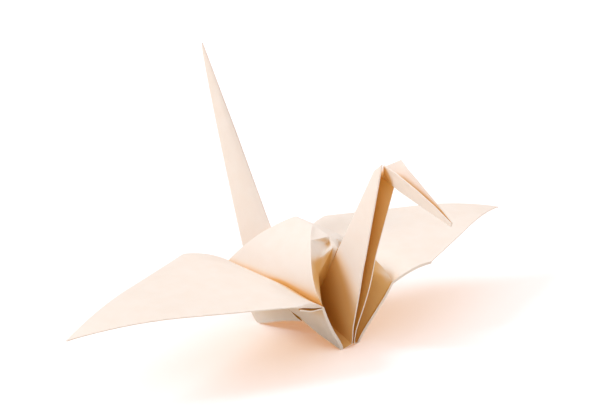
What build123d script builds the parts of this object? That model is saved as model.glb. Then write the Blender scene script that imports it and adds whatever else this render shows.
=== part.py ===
"""Folded paper crane, made from one square sheet.

The fold lines come from the crease pattern of the bird base, so the lengths in the plane of the
paper follow from the side of the sheet. A few angles and gaps then say how far each fold is
closed. X runs from the tail to the head, Y across the wings and Z up. The near side (negative Y)
is built first and mirrored.
"""

import os
from math import asin, cos, radians, sin, sqrt, tan

from build123d import *

# The sheet; neighbouring panels lap a little over the fold between them, and flaps that meet
# leave a narrow seam
sheet_side = 150.0
paper = 0.14
lap = 0.2
seam_gap = 0.3
slit_gap = 0.8

# Body: run of the feet on the sheet, gaps between the feet, lean of the walls, and the valleys
# where neck and tail are turned inside; every length grows with the sheet
front_foot_run = 0.4813 * sheet_side
rear_foot_run = 0.47 * sheet_side
front_foot_gap = 0.0187 * sheet_side
front_toe = 0.0033 * sheet_side
rear_foot_gap = 0.0213 * sheet_side
wall_lean = 25.7
hinge_tilt = 1.0
hinge_short = 0.0067 * sheet_side
front_valley = Vector(0.004, 0, 0.0353) * sheet_side
rear_valley = Vector(-0.0167, 0, 0.028) * sheet_side

# Slit between the narrowing flaps: it opens downwards into the arch between the feet
slit_place = 0.004 * sheet_side
slit_drop = 0.0119 * sheet_side
slit_side = 0.0227 * sheet_side
slit_rise = 0.014 * sheet_side

# Hump between the wings
hump_start = 76.0
hump_radius = 0.13 * sheet_side
crest_front = 0.0087 * sheet_side
crest_rear = -0.0333 * sheet_side

# Front pocket: its ridge runs from the hump to the neck, and the paper is crumpled below it
ridge_angle = -17.0
ridge_run = 0.0414 * sheet_side
ridge_foot_run = 0.14 * sheet_side
ridge_heel_run = 0.13 * sheet_side
hollow_angle = 72.8
hollow_run = 0.084 * sheet_side
pinch_share = 0.66
dent_share = 0.77

# Wings: each rises from its fold, levels out, and droops towards the tip
wing_rise = 31.8
root_run = 0.0947 * sheet_side
root_turn = 31.4
level_run = 0.155 * sheet_side
tip_radius = 0.6 * sheet_side
wing_sweep = -0.042

# Neck, head and tail
neck_angle = 60.8
neck_run = 0.3093 * sheet_side
neck_toe = Vector(0.1027, -0.0023, 0.0067) * sheet_side
crown_angle = 29.5
crown_reach = 0.0427 * sheet_side
crown_gape = 0.0207 * sheet_side
brow_share = 0.43
brow_rise = 0.0041 * sheet_side
brow_gape = 0.009 * sheet_side
head_angle = -17.8
beak_run = 0.17 * sheet_side
tail_angle = 120.3
tail_run = 0.484 * sheet_side

# Crease pattern: runs are counted along the diagonal from the corner of the sheet
narrowing = tan(radians(11.25))
petal = tan(radians(22.5))
hinge_run = sheet_side * sqrt(0.5) / (1 + narrowing)
hinge_half = narrowing * hinge_run
petal_run = sheet_side / 2
shoulder_run = sheet_side * petal / (narrowing + petal)
shoulder_half = narrowing * shoulder_run
flap_run = petal_run / cos(radians(22.5))


def spoke(start, angle, length):
    """Point in the mirror plane, at a distance from another and at an angle above +X."""
    return start + Vector(cos(radians(angle)), 0, sin(radians(angle))) * length


def between(first, second, share):
    """Point at a share of the way from one point to another."""
    return first + (second - first) * share


def facet(*corners, thickness=paper):
    """Flat panel of paper through three points."""
    first, second, third = corners
    plane = Plane(origin=first, x_dir=second - first, z_dir=(second - first).cross(third - first))
    middle = (first + second + third) / 3
    lapped = [corner + (corner - middle).normalized() * lap for corner in corners]
    flat = [plane.to_local_coords(corner) for corner in lapped]
    with BuildPart() as panel:
        with BuildSketch(plane.offset(-thickness / 2)):
            with BuildLine():
                Polyline(*[(point.X, point.Y) for point in flat], close=True)
            make_face()
        extrude(amount=thickness)
    return panel.part


def bend_place(start, legs, run):
    """Distance out and up after a run along a bent sheet: legs are pairs of length and turn."""
    out, up, angle = 0.0, 0.0, radians(start)
    for length, turn in legs:
        step = min(run, length)
        turned = radians(turn) * step / length
        chord = step * sin(turned / 2) / (turned / 2) if turned else step
        out += chord * cos(angle - turned / 2)
        up += chord * sin(angle - turned / 2)
        angle -= turned
        run -= step
    return out, up


def bent_sheet(frame, start, legs, corners, low, high, sweep=0.0):
    """Layer of a bent sheet between two heights; it leaves the X axis of its frame towards +Y.

    The corners of its outline are given on the flat paper, as pairs across and along the run.
    """
    outline = []
    for corner, following in zip(corners, corners[1:] + corners[:1]):
        steps = max(1, round(abs(following[1] - corner[1]) / 5))
        for share in [step / steps for step in range(steps)]:
            across = corner[0] + (following[0] - corner[0]) * share
            run = corner[1] + (following[1] - corner[1]) * share
            outline.append((across + sweep * run, bend_place(start, legs, run)[0]))
    side = Plane(origin=frame.origin, x_dir=frame.y_dir, z_dir=frame.x_dir)
    tangent = Vector(cos(radians(start)), sin(radians(start)))
    normal = Vector(-tangent.Y, tangent.X)
    with BuildPart() as layer:
        with BuildSketch(side):
            with BuildLine():
                edges = []
                for height in (low, high):
                    place = normal * height - tangent * lap
                    edge = Line(place, place + tangent * lap)
                    edges.append([edge])
                    for length, turn in legs:
                        if turn:
                            radius = length / radians(turn) + height
                            edge = JernArc(edge @ 1, edge % 1, radius, -turn)
                        else:
                            edge = Line(edge @ 1, (edge @ 1) + (edge % 1) * length)
                        edges[-1].append(edge)
                Line(edges[0][0] @ 0, edges[1][0] @ 0)
                Line(edges[0][-1] @ 1, edges[1][-1] @ 1)
            make_face()
        extrude(amount=sheet_side / 4, both=True)
        with BuildSketch(frame):
            with BuildLine():
                Polyline(*outline, close=True)
            make_face()
        extrude(amount=sheet_side / 4, both=True, mode=Mode.INTERSECT)
    return layer.part


# The near wall lies in a plane that has the axes of the flat sheet
front_flat = Vector(narrowing * front_foot_run + front_toe, front_foot_run)
rear_flat = Vector(-narrowing * rear_foot_run, rear_foot_run)
stance = front_flat - rear_flat
foot_reach = sqrt(stance.length**2 - (front_foot_gap - rear_foot_gap) ** 2) / 2
front_foot = Vector(foot_reach, -front_foot_gap, 0)
rear_foot = Vector(-foot_reach, -rear_foot_gap, 0)
along = (front_foot - rear_foot).normalized()
outwards = along.cross(Vector(0, 0, 1)).normalized()
upwards = Vector(0, 0, 1) * cos(radians(wall_lean)) + outwards * sin(radians(wall_lean))
stance = stance.normalized()
sheet_x = along * stance.X - upwards * stance.Y
sheet_y = along * stance.Y + upwards * stance.X
sheet_origin = rear_foot - sheet_x * rear_flat.X - sheet_y * rear_flat.Y
wall = Plane(origin=sheet_origin, x_dir=sheet_x, z_dir=sheet_x.cross(sheet_y))

# The wing's fold dips a little towards the front, where it is shorter
hinge_middle = wall.from_local_coords(Vector(0, hinge_run, 0))
hinge_x = sheet_x * cos(radians(hinge_tilt)) - sheet_y * sin(radians(hinge_tilt))
hinge_front = hinge_half - hinge_short
level = Vector(0, 0, 1).cross(hinge_x).normalized()
inner_frame = Plane(origin=hinge_middle, x_dir=hinge_x, z_dir=hinge_x.cross(level))
outer_frame = Plane(origin=hinge_middle, x_dir=-hinge_x, z_dir=hinge_x.cross(level))


def on_hinge(across):
    """Place on the flat pattern along the wing's fold."""
    return across * cos(radians(hinge_tilt)), hinge_run - across * sin(radians(hinge_tilt))


def wall_layer(corners, low, high):
    """Layer on the near wall, outlined on the flat pattern."""
    with BuildPart() as layer:
        with BuildSketch(wall.offset(low)):
            with BuildLine():
                Polyline(*corners, close=True)
            make_face()
        extrude(amount=high - low)
    return layer.part


# Wall: one leaf, and outside it the two narrowing flaps, which meet along a slit
foot_front = (front_flat.X, front_flat.Y)
foot_rear = (rear_flat.X, rear_flat.Y)
fold_front = on_hinge(hinge_front)
fold_rear = on_hinge(-hinge_half)
flap_rise = hinge_run - flap_run
slit_top = (slit_place, flap_run - slit_drop)
arch_top = (slit_place + slit_side, flap_run - slit_drop - slit_rise)
front_flap = [
    (arch_top[0] + slit_gap, arch_top[1] - slit_gap / 2),
    foot_front,
    fold_front,
    on_hinge(flap_rise),
    (seam_gap / 2, flap_run),
    (slit_top[0] + seam_gap, slit_top[1]),
]
rear_flap = [
    arch_top,
    (slit_top[0] - seam_gap / 2, slit_top[1]),
    (-seam_gap / 2, flap_run),
    on_hinge(-flap_rise),
    fold_rear,
    foot_rear,
]
near = [
    wall_layer([arch_top, foot_front, fold_front, fold_rear, foot_rear], -1.5 * paper, 1.5 * paper),
    wall_layer(front_flap, paper, 4 * paper),
    wall_layer(rear_flap, paper, 4.5 * paper),
]

# Wing: a plain leaf above, two raw-edged leaves below it that meet on the middle line, and the
# ends of the narrowing flaps under the root
tip_run = sheet_side - hinge_run
shoulder = shoulder_run - hinge_run
droop_run = tip_run - root_run - level_run + 1
wing_legs = [(root_run, root_turn), (level_run, 0), (droop_run, droop_run / radians(tip_radius))]
kite = [(-hinge_front, 0), (hinge_half, 0), (shoulder_half, shoulder), (0, tip_run)]
kite.append((-shoulder_half, shoulder))
near.append(bent_sheet(outer_frame, wing_rise, wing_legs, kite, 0, paper, -wing_sweep))
for hand, root in ((-1, -hinge_front), (1, hinge_half)):
    seam = hand * seam_gap / 2
    shoulder_corner = (hand * shoulder_half, shoulder)
    leaf = [(seam, 0), (root, 0), shoulder_corner, (seam, tip_run - 2)]
    near.append(bent_sheet(outer_frame, wing_rise, wing_legs, leaf, -paper, 0, -wing_sweep))
    flap = [(hand * flap_rise, 0), (root, 0), shoulder_corner]
    near.append(bent_sheet(outer_frame, wing_rise, wing_legs, flap, -5 * paper, -paper, -wing_sweep))

# Hump: one leaf bent up and over from the wing's fold to the mirror plane
turned_over = asin(sin(radians(hump_start)) + hinge_middle.Y / hump_radius)
hump_turn = hump_start - turned_over / radians(1)
hump_run = hump_radius * radians(hump_turn)
crest = [crest_front - hinge_middle.X, crest_rear - hinge_middle.X]
panel = [(-hinge_half, 0), (hinge_front, 0), (crest[0], hump_run), (crest[1], hump_run)]
hump_legs = [(hump_run, hump_turn)]
near.append(bent_sheet(inner_frame, hump_start, hump_legs, panel, -paper / 2, paper / 2))


def rim(root, top):
    """Five places along an edge of the hump panel, from the wing's fold to the crest."""
    places = []
    for share in [step / 4 for step in range(5)]:
        out, up = bend_place(hump_start, hump_legs, hump_run * share)
        places.append(inner_frame.from_local_coords(Vector(root + (top - root) * share, out, up)))
    return places


# Points in the mirror plane, and the open corners of the neck
nape = spoke(front_valley, neck_angle, neck_run)
beak = spoke(nape, head_angle, beak_run)
crown = spoke(nape, crown_angle, crown_reach) - Vector(0, crown_gape, 0)
brow = between(crown, beak, brow_share)
brow = Vector(brow.X, -brow_gape, brow.Z + brow_rise)
tail_tip = spoke(rear_valley, tail_angle, tail_run)

# Front pocket: the leaf between the hump and the neck, crumpled where the body was puffed up
front_rim = rim(hinge_front, crest[0])
ridge = spoke(front_rim[4], ridge_angle, ridge_run)
ridge_foot = spoke(front_valley, neck_angle, ridge_foot_run)
dent = between(front_rim[2], between(ridge_foot, ridge, 0.3), dent_share)
pinch = between(front_rim[1], spoke(front_valley, hollow_angle, hollow_run), pinch_share)
pocket = [
    (front_rim[4], front_rim[3], ridge),
    (front_rim[3], dent, ridge),
    (front_rim[3], front_rim[2], dent),
    (front_rim[2], pinch, dent),
    (front_rim[2], front_rim[1], pinch),
    (front_rim[1], front_rim[0], pinch),
    (ridge, dent, ridge_foot),
    (dent, pinch, ridge_foot),
    (pinch, front_valley, ridge_foot),
    (pinch, front_rim[0], front_valley),
    (front_rim[0], front_foot, front_valley),
]

# Rear pocket: the same leaf on the tail side, drawn tight
rear_rim = rim(-hinge_half, crest[1])
ridge_heel = spoke(rear_valley, tail_angle, ridge_heel_run)
pocket += [(lower, upper, ridge_heel) for lower, upper in zip(rear_rim, rear_rim[1:])]
pocket.append((rear_rim[0], ridge_heel, rear_valley))
pocket.append((rear_rim[0], rear_valley, rear_foot))
near += [facet(*corners) for corners in pocket]

# Neck, head and tail: four pressed leaves in each half
limbs = [
    (front_valley, front_foot, neck_toe),
    (front_valley, neck_toe, crown),
    (front_valley, crown, nape),
    (nape, crown, brow),
    (nape, brow, beak),
    (rear_valley, rear_foot, tail_tip),
]
near += [facet(*corners, thickness=4 * paper) for corners in limbs]

with BuildPart() as folded:
    add(near)
    mirror(near, about=Plane.XZ)
    split(bisect_by=Plane.XY)

# The origin lies on the ground, under the middle of the crane
box = folded.part.bounding_box()
with BuildPart() as crane:
    with Locations((-(box.min.X + box.max.X) / 2, 0, 0)):
        add(folded.part)

crane.part.label = "crane"
os.makedirs("parts", exist_ok=True)
export_step(crane.part, "parts/crane.step")
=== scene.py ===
"""Folded paper crane on a pale studio floor.

The crane is one square sheet. Each class below folds one region of it, from the crease pattern of
the bird base and the angles of the folds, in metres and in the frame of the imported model: X runs
from the tail to the head, Y across the wings, Z up. A region is drawn for the near side (negative
Y) and mirrored for the far side.
"""

import logging
from dataclasses import dataclass, field
from enum import Enum
from math import asin, cos, degrees, pi, radians, sin, sqrt, tan
from typing import Callable, Sequence

import bmesh
import bpy
from mathutils import Matrix, Vector
from mathutils.bvhtree import BVHTree


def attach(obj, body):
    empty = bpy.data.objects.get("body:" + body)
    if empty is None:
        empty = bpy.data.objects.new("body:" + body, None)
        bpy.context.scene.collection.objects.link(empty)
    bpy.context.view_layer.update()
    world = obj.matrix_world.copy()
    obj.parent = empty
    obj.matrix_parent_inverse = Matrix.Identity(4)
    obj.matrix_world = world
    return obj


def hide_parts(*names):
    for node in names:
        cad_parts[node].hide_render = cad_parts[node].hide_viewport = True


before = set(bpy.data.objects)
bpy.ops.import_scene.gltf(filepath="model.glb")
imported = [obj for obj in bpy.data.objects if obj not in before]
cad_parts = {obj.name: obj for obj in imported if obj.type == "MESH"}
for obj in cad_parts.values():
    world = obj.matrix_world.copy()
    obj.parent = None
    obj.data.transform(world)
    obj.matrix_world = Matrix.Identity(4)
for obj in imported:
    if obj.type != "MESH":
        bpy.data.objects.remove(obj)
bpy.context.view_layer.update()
LOG = logging.getLogger("crane")

Place = Callable[[float, float], Vector]


class Side(Enum):
    """The two halves of the crane; the near one faces the camera, at negative Y."""

    NEAR = "near"
    FAR = "far"


class End(Enum):
    """The two ends of a wing's fold or of a wall, with the sign of their place along the body."""

    REAR = -1
    FRONT = 1


@dataclass(frozen=True)
class BirdBase:
    """Crease pattern on the square; runs are counted along the diagonal from a corner.

    The crease angle, in degrees, is that between the diagonal and the bird base's creases at a
    corner. Neck, tail and wings are narrowed once more, by half of it.
    """

    side: float = 0.150
    crease_angle: float = 22.5
    ply: float = 0.00014
    seam: float = 0.0003

    @property
    def pressed(self) -> float:
        """Thickness of a leaf of three layers that are pressed flat on each other."""
        return 3 * self.ply

    @property
    def narrowing(self) -> float:
        """Slope of the crease that narrows neck, tail and wings."""
        return tan(radians(self.crease_angle / 2))

    @property
    def hinge_run(self) -> float:
        """Run of the fold between body and wing."""
        return self.side * sqrt(0.5) / (1 + self.narrowing)

    @property
    def hinge_half(self) -> float:
        """Half the length of that fold."""
        return self.narrowing * self.hinge_run

    @property
    def shoulder_run(self) -> float:
        """Run of the widest place of the wing."""
        slope = tan(radians(self.crease_angle))
        return self.side * slope / (self.narrowing + slope)

    @property
    def shoulder_half(self) -> float:
        """Half the width of the wing there."""
        return self.narrowing * self.shoulder_run

    @property
    def tip_run(self) -> float:
        """Run from the hinge to the wing's tip."""
        return self.side - self.hinge_run

    @property
    def flap_run(self) -> float:
        """Run where the two narrowing flaps meet on the middle line."""
        return self.side / 2 / cos(radians(self.crease_angle))


@dataclass(frozen=True)
class Bend:
    """Profile of a bent panel: it leaves a straight fold and turns leg by leg.

    A leg is a pair of its length and the angle in degrees through which it turns down.
    """

    origin: Vector
    across: Vector
    outwards: Vector
    start: float
    legs: tuple[tuple[float, float], ...]
    sweep: float = 0.0

    def place(self, across: float, run: float, lift: float = 0.0) -> Vector:
        """Point of the bent panel.

        Args:
            across: place along the fold on the flat paper.
            run: length along the paper from the fold.
            lift: height above the panel.

        Returns:
            The point in the crane's frame.
        """
        out, up, angle, left = 0.0, 0.0, radians(self.start), run
        for length, turn in self.legs:
            step = min(left, length)
            turned = radians(turn) * step / length
            chord = step * sin(turned / 2) / (turned / 2) if abs(turned) > 1e-9 else step
            out += chord * cos(angle - turned / 2)
            up += chord * sin(angle - turned / 2)
            angle -= turned
            left -= step
        out -= lift * sin(angle)
        up += lift * cos(angle)
        side = self.across * (across + self.sweep * run)
        upright = (Vector((0, 0, 1)) - self.across * self.across.z).normalized()
        return self.origin + side + self.outwards * out + upright * up


@dataclass(frozen=True)
class Pose:
    """Named points and directions of the near half, worked out from the crease pattern."""

    hinge_tilt: float = 1.0
    base: BirdBase = BirdBase()
    front_foot_share: float = 0.4813
    rear_foot_share: float = 0.47
    front_gap: float = 0.0028
    rear_gap: float = 0.0032
    front_toe: float = 0.0005
    wall_lean: float = 25.7
    hinge_short: float = 0.001
    hump_start: float = 76.0
    hump_radius: float = 0.0195
    crest_front: float = 0.0013
    crest_rear: float = -0.005
    neck_angle: float = 60.8
    neck_run: float = 0.0464
    crown_angle: float = 29.5
    crown_reach: float = 0.0064
    crown_gape: float = 0.0031
    tail_angle: float = 120.3
    tail_run: float = 0.0726
    front_valley: tuple[float, float, float] = (0.0006, 0.0, 0.0053)
    rear_valley: tuple[float, float, float] = (-0.0025, 0.0, 0.0042)
    neck_toe: tuple[float, float, float] = (0.0154, -0.00035, 0.001)
    centring: float = -0.0042256
    points: dict[str, Vector] = field(default_factory=dict, init=False, compare=False)

    def __post_init__(self) -> None:
        """Works out the points."""
        base, points = self.base, self.points
        front_run, rear_run = self.front_foot_share * base.side, self.rear_foot_share * base.side
        front_flat = Vector((base.narrowing * front_run + self.front_toe, front_run))
        rear_flat = Vector((-base.narrowing * rear_run, rear_run))
        stance = front_flat - rear_flat
        reach = sqrt(stance.length**2 - (self.front_gap - self.rear_gap) ** 2) / 2
        points["front_foot"] = self.centred(reach, -self.front_gap, 0)
        points["rear_foot"] = self.centred(-reach, -self.rear_gap, 0)
        along_feet = (points["front_foot"] - points["rear_foot"]).normalized()
        out = along_feet.cross(Vector((0, 0, 1))).normalized()
        lean = radians(self.wall_lean)
        up = Vector((0, 0, 1)) * cos(lean) + out * sin(lean)
        stance.normalize()
        sheet_x = along_feet * stance.x - up * stance.y
        sheet_y = along_feet * stance.y + up * stance.x
        points["sheet_x"], points["sheet_y"] = sheet_x, sheet_y
        points["sheet_origin"] = points["rear_foot"] - sheet_x * rear_flat.x - sheet_y * rear_flat.y
        points["hinge"] = self.on_wall(0, base.hinge_run)
        tilt = radians(self.hinge_tilt)
        points["hinge_x"] = sheet_x * cos(tilt) - sheet_y * sin(tilt)
        points["level"] = Vector((0, 0, 1)).cross(points["hinge_x"]).normalized()
        points["front_valley"] = self.centred(*self.front_valley)
        points["rear_valley"] = self.centred(*self.rear_valley)
        points["nape"] = self.spoke("front_valley", self.neck_angle, self.neck_run)
        crown = self.spoke("nape", self.crown_angle, self.crown_reach)
        points["crown"] = crown - Vector((0, self.crown_gape, 0))
        points["neck_toe"] = self.centred(*self.neck_toe)
        points["tail_tip"] = self.spoke("rear_valley", self.tail_angle, self.tail_run)

    @property
    def hinge_front(self) -> float:
        """Length of the wing's fold from its middle to the front, where it is shorter."""
        return self.base.hinge_half - self.hinge_short

    def centred(self, across: float, side: float, height: float) -> Vector:
        """Point from its place along the body, with the body's middle between its feet."""
        return Vector((across + self.centring, side, height))

    def spoke(self, start: str, angle: float, length: float) -> Vector:
        """Point in the mirror plane, at an angle above +X and a distance from a named point."""
        return self.points[start] + Vector((cos(radians(angle)), 0, sin(radians(angle)))) * length

    def on_wall(self, across: float, run: float, lift: float = 0.0) -> Vector:
        """Point of the near wall.

        Args:
            across: place across the middle line of the flat sheet.
            run: place along that line, from the sheet's corner.
            lift: height above the wall.

        Returns:
            The point in the crane's frame.
        """
        x_axis, y_axis = self.points["sheet_x"], self.points["sheet_y"]
        place = self.points["sheet_origin"] + x_axis * across + y_axis * run
        return place + x_axis.cross(y_axis) * lift

    def on_hinge(self, across: float) -> Vector:
        """Place on the flat sheet along the wing's fold."""
        tilt = radians(self.hinge_tilt)
        return Vector((across * cos(tilt), self.base.hinge_run - across * sin(tilt)))

    def hump(self) -> Bend:
        """Profile of the hump panel, from the wing's fold up to the mirror plane.

        Returns:
            The bent panel, in one leg.
        """
        hinge, across = self.points["hinge"], self.points["hinge_x"]
        rise = hinge.y / self.hump_radius
        turn = self.hump_start - degrees(asin(sin(radians(self.hump_start)) + rise))
        leg = (self.hump_radius * radians(turn), turn)
        return Bend(hinge, across, self.points["level"], self.hump_start, (leg,))


def blend(first: Vector, second: Vector, share: float) -> Vector:
    """Point at a share of the way from one point to another."""
    return first + (second - first) * share


def along(points: Sequence[Vector], share: float) -> Vector:
    """Point at a share of the length of a chain of points.

    Args:
        points: corners of the chain.
        share: 0 at its start, 1 at its end.

    Returns:
        The point.
    """
    lengths = [(second - first).length for first, second in zip(points, points[1:])]
    left = share * sum(lengths)
    for first, second, length in zip(points, points[1:], lengths):
        if left <= length or second is points[-1]:
            return blend(first, second, min(left / length, 1.0))
        left -= length
    return points[-1]


def steps(count: int) -> list[float]:
    """Even shares from 0 to 1."""
    return [index / count for index in range(count + 1)]


def corner_steps(points: Sequence[Vector], count: int, apart: float = 0.02) -> list[float]:
    """Even shares along a chain, and those of its corners, so that they stay sharp.

    Args:
        points: corners of the chain.
        count: number of even cells.
        apart: least distance of an even share from a corner's.

    Returns:
        The shares in order.
    """
    lengths = [(second - first).length for first, second in zip(points, points[1:])]
    corners = [round(sum(lengths[:index]) / sum(lengths), 6) for index in range(len(points))]
    even = [share for share in steps(count) if min(abs(share - corner) for corner in corners) > apart]
    return sorted(set(even + corners))


@dataclass
class Leaf:
    """Mesh of one layer of paper, with what the finishing needs at each of its points.

    The give is how freely the paper may cockle there, the softness how far a crease there has
    opened, and the fold is 1 along a pressed fold and 0 away from it.
    """

    points: list[Vector] = field(default_factory=list)
    faces: list[tuple[int, ...]] = field(default_factory=list)
    give: list[float] = field(default_factory=list)
    soft: list[float] = field(default_factory=list)
    fold: list[float] = field(default_factory=list)

    def add_point(self, point: Vector, give: float, soft: float, fold: float) -> int:
        """Adds a point with its values.

        Args:
            point: its place.
            give: how freely the paper may cockle there.
            soft: how far a crease there has opened.
            fold: 1 on a pressed fold, 0 away from it.

        Returns:
            The point's index.
        """
        self.points.append(point)
        self.give.append(give)
        self.soft.append(soft)
        self.fold.append(fold)
        return len(self.points) - 1

    def grid(self, place: Place, across: Sequence[float], runs: Sequence[float]) -> None:
        """Adds a four-sided patch.

        Args:
            place: gives the point for a share across and a share along the run.
            across: shares across, from 0 to 1.
            runs: shares along the run, from 0 to 1.
        """
        rows = []
        for run in runs:
            row = []
            for share in across:
                give = min(1.0, 16 * share * (1 - share) * run * (1 - run))
                edge = share in (across[0], across[-1]) or run in (runs[0], runs[-1])
                row.append(self.add_point(place(share, run), give, 0.0, float(edge)))
            rows.append(row)
        for low, high in zip(rows, rows[1:]):
            for column in range(len(across) - 1):
                self.faces.append((low[column], low[column + 1], high[column + 1], high[column]))

    def facet(
        self, corners: Sequence[Vector], count: int, curve: Sequence[Vector] = (), pinned: str = ""
    ) -> None:
        """Adds a triangle cut into smaller ones.

        Args:
            corners: its three corners.
            count: number of cells along each side.
            curve: points that replace the straight side from the first to the second corner.
            pinned: which sides keep a sharp crease, from "01", "12" and "20".
        """
        first, second, third = corners
        index = {}
        for row in range(count + 1):
            for column in range(count + 1 - row):
                weights = (1 - (row + column) / count, column / count, row / count)
                point = first * weights[0] + second * weights[1] + third * weights[2]
                if curve and row == 0:
                    point = curve[column]
                sides = {"01": row == 0, "20": column == 0, "12": row + column == count}
                held = any(on_side and name in pinned.split() for name, on_side in sides.items())
                ends = max(weights) == 1.0
                give = 27 * weights[0] * weights[1] * weights[2]
                soft = 0.0 if held or ends and pinned else 1.0
                index[row, column] = self.add_point(point, give, soft, float(any(sides.values())))
        for row in range(count):
            for column in range(count - row):
                corner, right, above = index[row, column], index[row, column + 1], index[row + 1, column]
                self.faces.append((corner, right, above))
                if column < count - row - 1:
                    self.faces.append((right, index[row + 1, column + 1], above))

    def mirrored(self) -> "Leaf":
        """The same layer on the far side.

        Returns:
            A new layer, with its faces turned the other way round.
        """
        points = [Vector((point.x, -point.y, point.z)) for point in self.points]
        faces = [tuple(reversed(face)) for face in self.faces]
        return Leaf(points, faces, list(self.give), list(self.soft), list(self.fold))

    def join(self, other: "Leaf") -> None:
        """Takes another layer's mesh into this one.

        Args:
            other: the layer to take in.
        """
        shift = len(self.points)
        self.points += other.points
        self.faces += [tuple(corner + shift for corner in face) for face in other.faces]
        self.give += other.give
        self.soft += other.soft
        self.fold += other.fold


@dataclass(frozen=True)
class Hump:
    """Panel between a wing's fold and the top of the back, swollen a little towards the front."""

    pose: Pose
    settled: Pose
    swell: float
    lip_share: float = 0.7
    cells_across: int = 30
    cells_along: int = 40

    def runs(self) -> list[float]:
        """Shares of the panel's rows, three quarters of them below the corner of the pocket's lip.

        Returns:
            The shares in order, from the wing's fold to the crest.
        """
        low = [self.lip_share * share for share in steps(3 * self.cells_along // 4)]
        high = [self.lip_share + (1 - self.lip_share) * share for share in steps(self.cells_along // 4)]
        return low + high[1:]

    def panel(self, pose: Pose, share: float, run: float) -> Vector:
        """Point of the panel in one of the two poses.

        Args:
            pose: the half's own pose, or the one that both halves share at the crest.
            share: 0 at the rear edge, 1 at the front edge.
            run: 0 on the wing's fold, 1 on the crest.

        Returns:
            The point.
        """
        bend, half = pose.hump(), pose.base.hinge_half
        middle = pose.points["hinge"].x - pose.centring
        rear = -half + (pose.crest_rear - middle + half) * run
        front = pose.hinge_front + (pose.crest_front - middle - pose.hinge_front) * run
        swell = self.swell * 4 * run * (1 - run) * share**2
        return bend.place(rear + (front - rear) * share, bend.legs[0][0] * run, swell)

    def place(self, share: float, run: float) -> Vector:
        """Point of the panel on its way from its own fold to the crest that both halves share.

        Args:
            share: 0 at the rear edge, 1 at the front edge.
            run: 0 on the wing's fold, 1 on the crest.

        Returns:
            The point.
        """
        own = self.panel(self.pose, share, run)
        point = blend(own, self.panel(self.settled, share, run), run**2)
        if run == 1:
            point.y = 0.0
        return point

    def leaf(self) -> Leaf:
        """The panel's layer of paper.

        Returns:
            The layer.
        """
        leaf = Leaf()
        leaf.grid(self.place, steps(self.cells_across), self.runs())
        return leaf

    def rim(self, share: float) -> list[Vector]:
        """The panel's points along its rear (0) or front (1) edge."""
        return [self.place(share, run) for run in self.runs()]


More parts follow.
